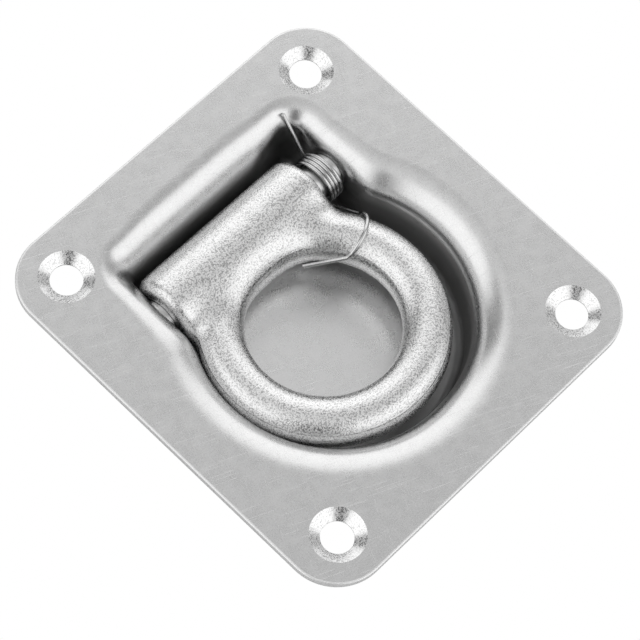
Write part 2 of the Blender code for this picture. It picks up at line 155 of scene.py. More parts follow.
class Graph:
    """Builds one node tree."""

    def __init__(self, tree: bpy.types.NodeTree) -> None:
        """Starts with an empty tree."""
        self.tree = tree
        tree.nodes.clear()

    def add(
        self,
        kind: str,
        settings: Mapping[str, object] | None = None,
        inputs: Mapping[str | int, object] | None = None,
        output: str | int = 0,
    ) -> Signal:
        """Adds a node.

        Args:
            kind: The node's type name.
            settings: Its own properties, set before the sockets.
            inputs: A value or a Signal for each named or numbered socket.
            output: The output that the returned Signal carries.

        Returns:
            The chosen output.
        """
        node = self.tree.nodes.new(kind)
        for name, value in (settings or {}).items():
            setattr(node, name, value)
        for key, value in (inputs or {}).items():
            if isinstance(value, Signal):
                self.tree.links.new(value.socket, node.inputs[key])
            else:
                node.inputs[key].default_value = value
        return Signal(self, node.outputs[output])

    def math(self, operation: str, first: Number, second: Number) -> Signal:
        """One Math node on two numbers."""
        return self.add("ShaderNodeMath", {"operation": operation}, {0: first, 1: second})

    def position(self) -> Signal:
        """The point on the piece, in metres."""
        return self.add("ShaderNodeTexCoord", output="Object")

    def axes(self, vector: Signal) -> tuple[Signal, Signal, Signal]:
        """The three parts of a vector."""
        split = self.add("ShaderNodeSeparateXYZ", inputs={0: vector}).socket.node
        return tuple(Signal(self, output) for output in split.outputs)

    def stretched(self, vector: Signal, factors: tuple[float, float, float]) -> Signal:
        """A vector with each part multiplied."""
        return self.add("ShaderNodeVectorMath", {"operation": "MULTIPLY"}, {0: vector, 1: factors})

    def dot(self, vector: Signal, direction: tuple[float, float, float]) -> Signal:
        """How far a vector goes along a direction."""
        settings = {"operation": "DOT_PRODUCT"}
        return self.add("ShaderNodeVectorMath", settings, {0: vector, 1: direction}, "Value")

    def turned(self, vector: Signal, angle: float) -> Signal:
        """A vector turned about Z by an angle in radians."""
        inputs = {"Vector": vector, "Angle": angle}
        return self.add("ShaderNodeVectorRotate", {"rotation_type": "Z_AXIS"}, inputs)

    def noise(self, vector: Signal, grain: float, detail: float = 2.0, roughness: float = 0.5) -> Signal:
        """Cloudy noise from 0 to 1 with features of about the grain's size."""
        inputs = {"Vector": vector, "Scale": 1.0 / grain, "Detail": detail, "Roughness": roughness}
        return self.add("ShaderNodeTexNoise", inputs=inputs)

    def between(
        self, value: Number, start: float, end: float, low: float = 0.0, high: float = 1.0
    ) -> Signal:
        """Goes smoothly from low to high while the value goes from start to end.

        Args:
            value: What is measured.
            start: Where the change starts.
            end: Where it ends.
            low: The result up to the start.
            high: The result from the end on.

        Returns:
            The result.
        """
        settings = {"interpolation_type": "SMOOTHSTEP"}
        inputs = {"Value": value, "From Min": start, "From Max": end, "To Min": low, "To Max": high}
        return self.add("ShaderNodeMapRange", settings, inputs)

    def mix(self, share: Number, first: object, second: object) -> Signal:
        """Mixes two colours."""
        settings = {"data_type": "RGBA"}
        return self.add("ShaderNodeMix", settings, {0: share, 6: first, 7: second}, 2)

    def bump(self, height: Signal, depth: float) -> Signal:
        """A normal from a height between 0 and 1 that stands for a depth in metres."""
        return self.add("ShaderNodeBump", inputs={"Height": height, "Distance": depth})

    def finish(self, shader: Signal, kind: str = "ShaderNodeOutputMaterial") -> None:
        """Links the shader to the tree's output."""
        output = self.tree.nodes.new(kind)
        self.tree.links.new(shader.socket, output.inputs["Surface"])


class Finish:
    """A finish that dresses bare metal. Subclasses say how its look varies."""

    name: str

    def material(self) -> bpy.types.Material:
        """Makes the material.

        Returns:
            A new material with this finish.
        """
        material = bpy.data.materials.new(self.name)
        material.use_nodes = True
        graph = Graph(material.node_tree)
        inputs = {"Metallic": 1.0, **self.surface(graph)}
        graph.finish(graph.add("ShaderNodeBsdfPrincipled", inputs=inputs))
        return material

    def surface(self, graph: Graph) -> dict[str, object]:
        """How the finish varies over the piece.

        Args:
            graph: The material's node tree.

        Returns:
            The shader's sockets with their values.
        """
        raise NotImplementedError


@dataclass(frozen=True)
class PlateZinc(Finish):
    """Bright zinc on pressed sheet: satin, finely mottled and faintly scratched.

    Low in the recess it carries painted light, paler on the middle of the floor, and painted shade, darker
    towards the walls, where it is also rougher.
    """

    name: str = "plate_zinc"
    dark: float = 0.67
    light: float = 0.79
    roughness: float = 0.28
    unevenness: float = 0.06
    grain: float = 0.4 * MM
    mottle: float = 3.5 * MM
    grain_share: float = 0.7
    grain_depth: float = 0.02 * MM
    tone_from: float = 0.3
    tone_to: float = 0.7
    floor_middle_y: float = -4.3 * MM
    painted_floor_light_tone: float = 0.93
    painted_floor_light_share: float = 0.45
    painted_light_and_dull_height: float = 19.0 * MM
    painted_shade_and_dull_from: float = 20.0 * MM
    painted_light_and_dull_fade: float = 8.0 * MM
    painted_shade_tone: float = 0.28
    dull_roughness: float = 0.17
    painted_shade_and_dull_share: float = 1.0
    scratch_angles: tuple[float, float] = (radians(24.0), radians(-63.0))
    scratch_length: float = 14.0 * MM
    scratch_width: float = 0.16 * MM
    scratch_layers_per_metre: float = 60.0
    scratch_from: float = 0.76
    scratch_to: float = 0.82
    scratch_share: float = 0.5

    def surface(self, graph: Graph) -> dict[str, object]:
        """Mottled grey, satin, with scratches that catch the light, and painted light and painted shade low
        in the recess.

        Args:
            graph: The material's node tree.

        Returns:
            The shader's sockets with their values.
        """
        point = graph.position()
        grain = graph.noise(point, self.grain, detail=3.0, roughness=0.6)
        cloud = graph.noise(point, self.mottle, detail=3.0, roughness=0.55)
        tone = grain * self.grain_share + cloud * (1.0 - self.grain_share)
        mottled = graph.between(tone, self.tone_from, self.tone_to)
        colour = graph.mix(mottled, grey(self.dark), grey(self.light))
        # Painted light: paler on the middle of the recess floor. Painted shade: darker towards the recess
        # walls, where the zinc is also rougher.
        painted_floor_light, painted_shade_and_dull = self._painted_recess_light(graph, point)
        colour = graph.mix(painted_floor_light, colour, grey(self.painted_floor_light_tone))
        colour = graph.mix(painted_shade_and_dull, colour, grey(self.painted_shade_tone))
        uneven = (cloud + grain - 1.0) * self.unevenness
        one_way, other_way = (self._scratches(graph, point, angle) for angle in self.scratch_angles)
        height = grain - (one_way + other_way) * self.scratch_share
        return {
            "Base Color": colour,
            "Roughness": self.roughness + uneven + painted_shade_and_dull * self.dull_roughness,
            "Normal": graph.bump(height, self.grain_depth),
        }

    def _painted_recess_light(self, graph: Graph, point: Signal) -> tuple[Signal, Signal]:
        """How much painted light and painted shade the zinc has low in the recess.

        Args:
            graph: The material's node tree.
            point: The point on the piece.

        Returns:
            The share of painted light on the middle of the floor, and the share of painted shade round it,
            which also makes the zinc rougher.
        """
        x, y, z = graph.axes(point)
        off_middle = (x**2.0 + (y - self.floor_middle_y) ** 2.0) ** 0.5
        painted_shade_rim = graph.between(off_middle, self.painted_shade_and_dull_from, self.painted_shade_and_dull_from + self.painted_light_and_dull_fade)
        low = graph.between(z, self.painted_light_and_dull_height - self.painted_light_and_dull_fade, self.painted_light_and_dull_height, 1.0, 0.0)
        return (1.0 - painted_shade_rim) * low * self.painted_floor_light_share, painted_shade_rim * low * self.painted_shade_and_dull_share

    def _scratches(self, graph: Graph, point: Signal, angle: float) -> Signal:
        """Sparse straight scratches along one direction.

        Args:
            graph: The material's node tree.
            point: The point on the piece.
            angle: The direction in plan, in radians.

        Returns:
            1 in a scratch and 0 between them.
        """
        factors = (1.0 / self.scratch_length, 1.0 / self.scratch_width, self.scratch_layers_per_metre)
        streaks = graph.stretched(graph.turned(point, angle), factors)
        lines = graph.noise(streaks, 1.0, detail=0.0)
        return graph.between(lines, self.scratch_from, self.scratch_to)


@dataclass(frozen=True)
class ForgedZinc(Finish):
    """Zinc on a forging: bright and slightly hammered, with lighter matt specks.

    The specks stand out only where the bright zinc between them mirrors something dark.
    """

    name: str = "forged_zinc"
    dark: float = 0.46
    light: float = 0.93
    roughness: float = 0.08
    matt: float = 0.26
    unevenness: float = 0.06
    grain: float = 0.45 * MM
    fine_grain: float = 0.25 * MM
    fine_share: float = 0.2
    patch: float = 7.0 * MM
    speck_from: float = 0.39
    speck_to: float = 0.54
    grain_depth: float = 0.12 * MM

    def surface(self, graph: Graph) -> dict[str, object]:
        """Bright grey with specks, over a grain that glitters.

        Args:
            graph: The material's node tree.

        Returns:
            The shader's sockets with their values.
        """
        point = graph.position()
        coarse = graph.noise(point, self.grain, detail=3.0, roughness=0.6)
        fine = graph.noise(point, self.fine_grain)
        patches = graph.noise(point, self.patch)
        specks = graph.between(coarse, self.speck_from, self.speck_to)
        coarse_share = 1.0 - self.fine_share
        tone = specks * coarse_share + fine * self.fine_share
        height = coarse * coarse_share + fine * self.fine_share
        return {
            "Base Color": graph.mix(tone, grey(self.dark), grey(self.light)),
            "Roughness": self.roughness + specks * self.matt + (patches - 0.5) * self.unevenness,
            "Normal": graph.bump(height, self.grain_depth),
        }


@dataclass(frozen=True)
class TurnedCone(Finish):
    """The countersinks' cut cones: bright, with fine turning rings and a grainy bite of the cutter."""

    hole_x: float
    hole_y: float
    name: str = "turned_cone"
    dark: float = 0.58
    light: float = 0.94
    roughness: float = 0.1
    matt: float = 0.24
    ring_pitch: float = 0.5 * MM
    ring_share: float = 0.12
    wobble: float = 0.2 * MM
    wobble_size: float = 2.2 * MM
    grain: float = 0.4 * MM
    speck_from: float = 0.38
    speck_to: float = 0.54
    grain_depth: float = 0.02 * MM

    def surface(self, graph: Graph) -> dict[str, object]:
        """Rings about each hole's own axis over a fine grain.

        Args:
            graph: The material's node tree.

        Returns:
            The shader's sockets with their values.
        """
        point = graph.position()
        x, y, _ = graph.axes(point)
        across = abs(x) - self.hole_x
        along = abs(y) - self.hole_y
        radius = (across * across + along * along) ** 0.5
        wavy_radius = radius + graph.noise(point, self.wobble_size) * self.wobble
        rings = graph.math("SINE", wavy_radius * (2 * pi / self.ring_pitch), 0.0)
        grain = graph.noise(point, self.grain, detail=3.0, roughness=0.6)
        specks = graph.between(grain, self.speck_from, self.speck_to)
        return {
            "Base Color": graph.mix(specks, grey(self.dark), grey(self.light)),
            "Roughness": self.roughness + specks * self.matt,
            "Normal": graph.bump(rings * self.ring_share + grain, self.grain_depth),
        }


@dataclass(frozen=True)
class MarkedMetal(Finish):
    """Plain metal with fine marks, rougher and lighter where the marks are."""

    name: str
    dark: float
    light: float
    roughness: float
    matt: float
    grain: float
    depth: float
    stretch: tuple[float, float, float] = (1.0, 1.0, 1.0)
    cloud: float | None = None

    def surface(self, graph: Graph) -> dict[str, object]:
        """Marks drawn out along the directions with a small stretch, on a cloudy grey if there is a cloud.

        Args:
            graph: The material's node tree.

        Returns:
            The shader's sockets with their values.
        """
        point = graph.position()
        marks = graph.noise(graph.stretched(point, self.stretch), self.grain)
        tone = graph.noise(point, self.cloud) if self.cloud else marks
        return {
            "Base Color": graph.mix(tone, grey(self.dark), grey(self.light)),
            "Roughness": self.roughness + marks * self.matt,
            "Normal": graph.bump(marks, self.depth),
        }


SHEARED_EDGE = MarkedMetal(
    "sheared_edge",
    dark=0.78,
    light=0.92,
    roughness=0.42,
    matt=0.12,
    grain=0.3 * MM,
    depth=0.02 * MM,
    stretch=(1.0, 1.0, 0.12),
)
PIN_ZINC = MarkedMetal(
    "pin_zinc",
    dark=0.6,
    light=0.75,
    roughness=0.24,
    matt=0.14,
    grain=0.15 * MM,
    depth=0.006 * MM,
    stretch=(1.0, 0.05, 0.05),
    cloud=1.5 * MM,
)
SPRING_WIRE = MarkedMetal(
    "spring_wire", dark=0.52, light=0.74, roughness=0.15, matt=0.1, grain=0.6 * MM, depth=0.003 * MM
)


def arc(centre: PointInPlan, radius: float, start: float, end: float, steps: int) -> list[PointInPlan]:
    """Points along an arc in plan, both ends included.

    Args:
        centre: The arc's centre.
        radius: Its radius.
        start: The angle of its first point in radians.
        end: The angle of its last point in radians.
        steps: How many pieces it has.

    Returns:
        The points in order.
    """
    angles = [start + (end - start) * i / steps for i in range(steps + 1)]
    return [(centre[0] + radius * cos(a), centre[1] + radius * sin(a)) for a in angles]


def directed_arc(
    centre: PointInPlan, radius: float, start: float, end: float, steps: int, outward: int = 1
) -> list[DirectedPoint]:
    """Points along an arc, each with the direction that leads out of the recess.

    Args:
        centre: The arc's centre.
        radius: Its radius.
        start: The angle of its first point in radians.
        end: The angle of its last point in radians.
        steps: How many pieces it has.
        outward: 1 where the recess lies inside the arc, -1 where it lies outside.

    Returns:
        (point, direction) pairs in order.
    """
    points = arc(centre, radius, start, end, steps)
    directions = arc((0.0, 0.0), outward, start, end, steps)
    return list(zip(points, directions))


def with_mirror_image(right_side: list[tuple[float, ...]]) -> list[tuple[float, ...]]:
    """Closes a run from the rear centre to the front centre with its mirror image."""
    return right_side + [(-point[0], *point[1:]) for point in reversed(right_side[1:-1])]


def ease(share: float) -> float:
    """Goes smoothly from 0 to 1 while the share does."""
    share = min(max(share, 0.0), 1.0)
    return share * share * (3.0 - 2.0 * share)


class Surface:
    """A mesh under construction, made of closed loops of points."""

    def __init__(self) -> None:
        """Starts empty."""
        self.bm = bmesh.new()

    def loop(self, points: Sequence[Sequence[float]]) -> Loop:
        """A closed loop of vertices."""
        return [self.bm.verts.new(tuple(point)) for point in points]

    def level_loop(self, points: Sequence[PointInPlan], z: float) -> Loop:
        """A closed loop at one height."""
        return self.loop([(x, y, z) for x, y in points])

    def chain(self, loops: Sequence[Loop], slot: int = 0) -> None:
        """Joins each loop to the next.

        Args:
            loops: Loops with as many vertices in each.
            slot: The new faces' material slot.
        """
        for first, second in zip(loops, loops[1:]):
            for i in range(len(first)):
                j = (i + 1) % len(first)
                face = self.bm.faces.new((first[i], first[j], second[j], second[i]))
                face.material_index = slot

    def fill(self, loops: Sequence[Loop], slot: int = 0) -> None:
        """Fills the flat area between loops.

        Args:
            loops: The loop outside, then its holes.
            slot: The new faces' material slot.
        """
        edges = []
        for loop in loops:
            for first, second in zip(loop, loop[1:] + loop[:1]):
                edges.append(self.bm.edges.get((first, second)) or self.bm.edges.new((first, second)))
        filled = bmesh.ops.triangle_fill(self.bm, use_beauty=True, use_dissolve=False, edges=edges)
        for face in filled["geom"]:
            if isinstance(face, bmesh.types.BMFace):
                face.material_index = slot

    def cap(self, loop: Loop, slot: int = 0) -> None:
        """Closes a flat loop with one face."""
        self.bm.faces.new(loop).material_index = slot

    def piece(self, name: str, sharp_degrees: float = 40.0) -> bpy.types.Object:
        """Ends the mesh and makes it an object.

        Args:
            name: The piece's name.
            sharp_degrees: Edges that turn more than this stay sharp.

        Returns:
            The new object, smooth shaded.
        """
        bmesh.ops.recalc_face_normals(self.bm, faces=self.bm.faces)
        mesh = ended(name, self.bm)
        smooth(mesh, sharp_degrees)
        return linked(name, mesh)


def ended(name: str, bm: bmesh.types.BMesh) -> bpy.types.Mesh:
    """Turns a mesh under construction into a finished one.

    Args:
        name: The new mesh's name.
        bm: The mesh under construction, which is freed.

    Returns:
        The new mesh.
    """
    mesh = bpy.data.meshes.new(name)
    bm.to_mesh(mesh)
    bm.free()
    return mesh


def smooth(mesh: bpy.types.Mesh, sharp_degrees: float) -> None:
    """Shades a mesh smooth, apart from edges that turn more than an angle."""
    mesh.shade_smooth()
    mesh.set_sharp_from_angle(angle=radians(sharp_degrees))


def linked(name: str, data: bpy.types.ID) -> bpy.types.Object:
    """A new object in the scene.

    Args:
        name: Its name.
        data: Its mesh or camera.

    Returns:
        The object.
    """
    obj = bpy.data.objects.new(name, data)
    bpy.context.scene.collection.objects.link(obj)
    return obj


def bored(
    piece: bpy.types.Object, axis_point: Vector, radius: float, length: float, sharp_degrees: float
) -> None:
    """Drills a round hole along X through a piece and applies it.

    Args:
        piece: What is drilled.
        axis_point: A point on the hole's axis, half way along it.
        radius: The hole's radius.
        length: The drill's length.
        sharp_degrees: Edges that turn more than this stay sharp.
    """
    bm = bmesh.new()
    turn = Matrix.Translation(axis_point) @ Matrix.Rotation(pi / 2, 4, "Y")
    bmesh.ops.create_cone(
        bm, cap_ends=True, segments=DRILL_SIDES, radius1=radius, radius2=radius, depth=length, matrix=turn
    )
    drill = linked("drill", ended("drill", bm))
    cut = piece.modifiers.new("bore", "BOOLEAN")
    cut.operation = "DIFFERENCE"
    cut.solver = "EXACT"
    cut.object = drill
    depsgraph = bpy.context.evaluated_depsgraph_get()
    drilled = bpy.data.meshes.new_from_object(piece.evaluated_get(depsgraph))
    piece.modifiers.clear()
    piece.data = drilled
    smooth(drilled, sharp_degrees)
    bpy.data.objects.remove(drill, do_unlink=True)


@dataclass(frozen=True)
class Hinge:
    """The hinge line, read from the frame."""

    y: float
    z: float
    pin_radius: float = 5.0 * MM

    @staticmethod
    def from_frame() -> "Hinge":
        """The line of the frame's only joint."""
        _, y, z = frame["joints"][0]["pos_m"]
        return Hinge(y, z)


@dataclass(frozen=True)
class Shoulder:
    """A shoulder's section: its overall radius, the radius of its run-out and what opens it lower down."""

    radius: float
    run_out: float
    bend: float

    def lip_radius(self, run_out_end: float) -> float:
        """The radius past the run-out that keeps the shoulder as wide as its overall radius."""
        return (self.radius - self.run_out * sin(run_out_end)) / (1.0 - sin(run_out_end))


@dataclass(frozen=True)
class PressedPan:
    """The pressed plate: flange, soft shoulder, recess with a straight rear and a round front.

    The outline is the recess in plan at outline_depth. Going down, the shoulder has a soft run-out from the
    flange up to run_out_end, then a lip, and from bend_start on a wider bend. The rear bend leaves a pocket
    from leg_pocket_x outwards, where the spring's leg stands. The shoulder runs out softly only where the
    outline faces left or to the front, and softer_to_left and softer_to_front say how soon it does. Each
    flat strip keeps its neighbours' smooth shading apart.
    """

    hinge: Hinge
    width: float
    length: float
    height: float
    sheet: float = 2.4 * MM
    plate_corner: float = 14.0 * MM
    edge_round: float = 0.5 * MM
    hole_radius: float = 4.25 * MM
    hole_to_side: float = 13.5 * MM
    hole_to_end: float = 12.75 * MM
    countersink_radius: float = 7.2 * MM
    countersink_depth: float = 2.1 * MM
    outline_depth: float = 6.5 * MM
    corner_shoulder: float = 6.5 * MM
    rear_shoulder: float = 8.0 * MM
    front_shoulder: float = 9.5 * MM
    rear_shoulder_run: float = 16.0 * MM
    side_shoulder_run: float = 32.0 * MM
    run_out_radius: float = 16.0 * MM
    run_out_end: float = radians(16.0)
    rear_bend: float = 10.4 * MM
    lip_bend: float = 5.0 * MM
    bend_start: float = radians(45.0)
    bend_run: float = 10.0 * MM
    leg_pocket_x: float = 28.0 * MM
    leg_pocket_run: float = 14.0 * MM
    softness: float = 0.2
    softer_to_left: float = 1.2
    softer_to_front: float = 0.8
    floor_fillet: float = 3.0 * MM
    draft: float = radians(4.0)
    side_wall: float = 31.5 * MM
    rear_wall: float = 41.0 * MM
    rear_corner: float = 4.0 * MM
    waist: float = 18.0 * MM
    front_round: float = 36.7 * MM
    wall_hole_radius: float = 5.3 * MM
    wall_drill: float = 90.0 * MM
    flat_strip: float = 0.1 * MM
    sharp_degrees: float = 30.0
    rear_steps: int = 24
    corner_steps: int = 20
    side_steps: int = 16
    waist_steps: int = 20
    front_steps: int = 64
    bend_steps: int = 32
    fillet_steps: int = 14
    plate_corner_steps: int = 24
    edge_steps: int = 4
    hole_steps: int = 96

    @staticmethod
    def from_frame(hinge: Hinge) -> "PressedPan":
        """A pan as large as the frame's."""
        low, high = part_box("pan")
        return PressedPan(hinge, high.x - low.x, high.y - low.y, high.z)

    def outline(self) -> list[DirectedPoint]:
        """The recess in plan at its outline depth.

        Returns:
            (point, outward direction) pairs down the right side, from the rear centre to the front centre.
        """
        waist_x = self.side_wall + self.waist
        waist_rise = sqrt((self.front_round + self.waist) ** 2 - waist_x**2)
        turn = atan2(waist_rise, waist_x)
        front_y = -self.rear_wall + self.front_round
        corner_x, corner_y = self.side_wall - self.rear_corner, self.rear_wall - self.rear_corner
        waist_y = front_y + waist_rise
        outline = []
        for i in range(self.rear_steps):
            outline.append(((corner_x * i / self.rear_steps, self.rear_wall), (0.0, 1.0)))
        outline += directed_arc((corner_x, corner_y), self.rear_corner, pi / 2, 0.0, self.corner_steps)
        for i in range(1, self.side_steps):
            y = corner_y + (waist_y - corner_y) * i / self.side_steps
            outline.append(((self.side_wall, y), (1.0, 0.0)))
        outline += directed_arc((waist_x, waist_y), self.waist, pi, pi + turn, self.waist_steps, outward=-1)
        outline += directed_arc((0.0, front_y), self.front_round, turn, -pi / 2, self.front_steps)[1:]
        return outline

    def shoulder(self, point: PointInPlan, outwards: PointInPlan) -> Shoulder:
        """The shoulder's section beside a point of the outline.

        Args:
            point: The point.
            outwards: The direction out of the recess there.

        Returns:
            The section: tightest at the rear corners, widest round the front, opening out lower down
            along the rear, and running out softly onto the flange at the plain side and the front.
        """
        x, y = point
        corner_x, corner_y = self.side_wall - self.rear_corner, self.rear_wall - self.rear_corner
        bend = self.rear_bend * ease((self.leg_pocket_x - x) / self.leg_pocket_run)
        if y > corner_y:
            share = ease((corner_x - abs(x)) / self.rear_shoulder_run)
            radius = self.corner_shoulder + share * (self.rear_shoulder - self.corner_shoulder)
            return Shoulder(radius, radius, bend)
        share = ease((corner_y - y) / self.side_shoulder_run)
        radius = self.corner_shoulder + share * (self.front_shoulder - self.corner_shoulder)
        soft = ease(self.softness - self.softer_to_left * outwards[0] - self.softer_to_front * outwards[1])
        run_out = radius + share * soft * (self.run_out_radius - radius)
        bend += ease((corner_y - y) / self.bend_run) * (self.lip_bend * soft - bend)
        return Shoulder(radius, run_out, bend)

    def shoulder_offset(self, radius: float) -> float:
        """How far outside the outline a shoulder of this radius has its centre."""
        return radius / cos(self.draft) - (radius - self.outline_depth) * tan(self.draft)

    def plate_outline(self, inset: float) -> list[PointInPlan]:
        """The plate's edge in plan.

        Args:
            inset: How far it is moved inwards.

        Returns:
            The points all round.
        """
        x = self.width / 2 - self.plate_corner
        y = self.length / 2 - self.plate_corner
        radius = self.plate_corner - inset
        steps = self.plate_corner_steps
        outline = [(0.0, y + radius)] + arc((x, y), radius, pi / 2, 0.0, steps)
        outline += arc((x, -y), radius, 0.0, -pi / 2, steps) + [(0.0, -y - radius)]
        return with_mirror_image(outline)

    def profile(self, shoulder: Shoulder, offset: float) -> list[tuple[float, float]]:
        """(inset, depth) down one face of the sheet.

        Args:
            shoulder: The shoulder's section there.
            offset: 0 for the upper face, the sheet's thickness for the underside.

        Returns:
            Points from the flange to the floor.
        """
        inset, depth, slope = -self.shoulder_offset(shoulder.radius), 0.0, 0.0
        profile = [(inset - self.flat_strip, offset), (inset, offset)]
        steep = pi / 2 - self.draft
        lip = shoulder.lip_radius(self.run_out_end)
        for i in range(1, self.bend_steps + 1):
            following = steep * i / self.bend_steps
            middle = (slope + following) / 2
            radius = shoulder.run_out if middle < self.run_out_end else lip
            radius += shoulder.bend if middle > self.bend_start else 0.0
            inset += radius * (sin(following) - sin(slope))
            depth += radius * (cos(slope) - cos(following))
            slope = following
            profile.append((inset - offset * sin(slope), depth + offset * cos(slope)))
        room = self.floor_inset() - inset - (self.height - self.sheet - depth) * tan(self.draft)
        fillet = room / (1 / cos(self.draft) - tan(self.draft))
        fillet_depth = self.height - self.sheet - fillet
        for i in range(self.fillet_steps + 1):
            slope = self.draft + steep * i / self.fillet_steps
            fillet_inset = self.floor_inset() - (fillet + offset) * cos(slope)
            profile.append((fillet_inset, fillet_depth + (fillet + offset) * sin(slope)))
        profile.append((self.floor_inset() + self.flat_strip, self.height - self.sheet + offset))
        return profile

    def floor_inset(self) -> float:
        """How far inside the outline the flat floor starts."""
        wall_depth = self.height - self.sheet - self.floor_fillet - self.outline_depth
        return wall_depth * tan(self.draft) + self.floor_fillet / cos(self.draft)

    def recess_loops(self, surface: Surface, offset: float) -> list[Loop]:
        """Loops down one face of the recess.

        Args:
            surface: Where the loops go.
            offset: 0 for the upper face, the sheet's thickness for the underside.

        Returns:
            The loops from the flange to the floor.
        """
        outline = self.outline()
        mirrored = [((-x, y), (-out_x, out_y)) for (x, y), (out_x, out_y) in outline]
        right_profiles = [self.profile(self.shoulder(*place), offset) for place in outline]
        left_profiles = [self.profile(self.shoulder(*place), offset) for place in mirrored]
        loops = []
        for step in range(len(right_profiles[0])):
            sides = []
            for side, profiles in ((outline, right_profiles), (mirrored, left_profiles)):
                points = []
                for ((x, y), (out_x, out_y)), profile in zip(side, profiles):
                    inset, depth = profile[step]
                    points.append((x - inset * out_x, y - inset * out_y, self.height - depth))
                sides.append(points)
            right, left = sides
            loops.append(surface.loop(right + left[-2:0:-1]))
        return loops

    def hole_centres(self) -> list[PointInPlan]:
        """The four bolt holes.

        Returns:
            Their centres in plan, from the right rear round by the left.
        """
        x = self.width / 2 - self.hole_to_side
        y = self.length / 2 - self.hole_to_end
        return [(x, y), (-x, y), (-x, -y), (x, -y)]

    def build(self) -> bpy.types.Object:
        """Makes the pan and dresses it.

        Returns:
            The piece that stands for the frame's pan.
        """
        surface = Surface()
        upper = self.recess_loops(surface, 0.0)
        lower = self.recess_loops(surface, self.sheet)
        for loops, slot in ((upper, PanFace.UPPER), (lower, PanFace.UNDERSIDE)):
            surface.chain(loops, slot)
            surface.cap(loops[-1], slot)
        edge = self._edge(surface)
        surface.chain(edge, PanFace.EDGE)
        mouths, feet = [], []
        for centre in self.hole_centres():
            cone = self._countersink(surface, centre)
            surface.chain(cone[:2], PanFace.UPPER)
            surface.chain(cone[1:], PanFace.CONE)
            mouths.append(cone[0])
            feet.append(cone[-1])
        surface.fill([edge[0], upper[0], *mouths], PanFace.UPPER)
        surface.fill([edge[-1], lower[0], *feet], PanFace.UNDERSIDE)
        piece = surface.piece("pressed_pan", self.sharp_degrees)
        hinge_point = Vector((0.0, self.hinge.y, self.hinge.z))
        bored(piece, hinge_point, self.wall_hole_radius, self.wall_drill, self.sharp_degrees)
        hole_x, hole_y = self.hole_centres()[0]
        finishes = {
            PanFace.UPPER: PlateZinc(),
            PanFace.CONE: TurnedCone(hole_x, hole_y),
            PanFace.EDGE: SHEARED_EDGE,
            PanFace.UNDERSIDE: PlateZinc("underside_zinc", painted_shade_and_dull_share=0.0),
        }
        for slot in PanFace:
            piece.data.materials.append(finishes[slot].material())
        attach(piece, Body.PAN.value)
        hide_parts("pan")
        return piece

    def _edge(self, surface: Surface) -> list[Loop]:
        """Loops round the plate's cut edge.

        Args:
            surface: Where the loops go.

        Returns:
            The loops from the plate's upper face to its underside.
        """
        slopes = [pi / 2 * i / self.edge_steps for i in range(self.edge_steps + 1)]
        underside = self.height - self.sheet
        flat = self.edge_round + self.flat_strip
        section = [(flat, self.height)]
        for slope in slopes:
            inset, drop = self.edge_round * (1 - sin(slope)), self.edge_round * (1 - cos(slope))
            section.append((inset, self.height - drop))
        for slope in slopes:
            inset, rise = self.edge_round * (1 - cos(slope)), self.edge_round * (1 - sin(slope))
            section.append((inset, underside + rise))
        section.append((flat, underside))
        return [surface.level_loop(self.plate_outline(inset), z) for inset, z in section]

    def _countersink(self, surface: Surface, centre: PointInPlan) -> list[Loop]:
        """Loops down one countersunk hole.

        Args:
            surface: Where the loops go.
            centre: The hole's centre in plan.

        Returns:
            The loops from the plate's upper face to its underside.
        """
        section = [
            (self.countersink_radius + self.flat_strip, 0.0),
            (self.countersink_radius, 0.0),
            (self.hole_radius, self.countersink_depth),
            (self.hole_radius, self.sheet),
        ]
        loops = []
        for radius, depth in section:
            circle = arc(centre, radius, 0.0, 2 * pi, self.hole_steps)[:-1]
            loops.append(surface.level_loop(circle, self.height - depth))
        return loops


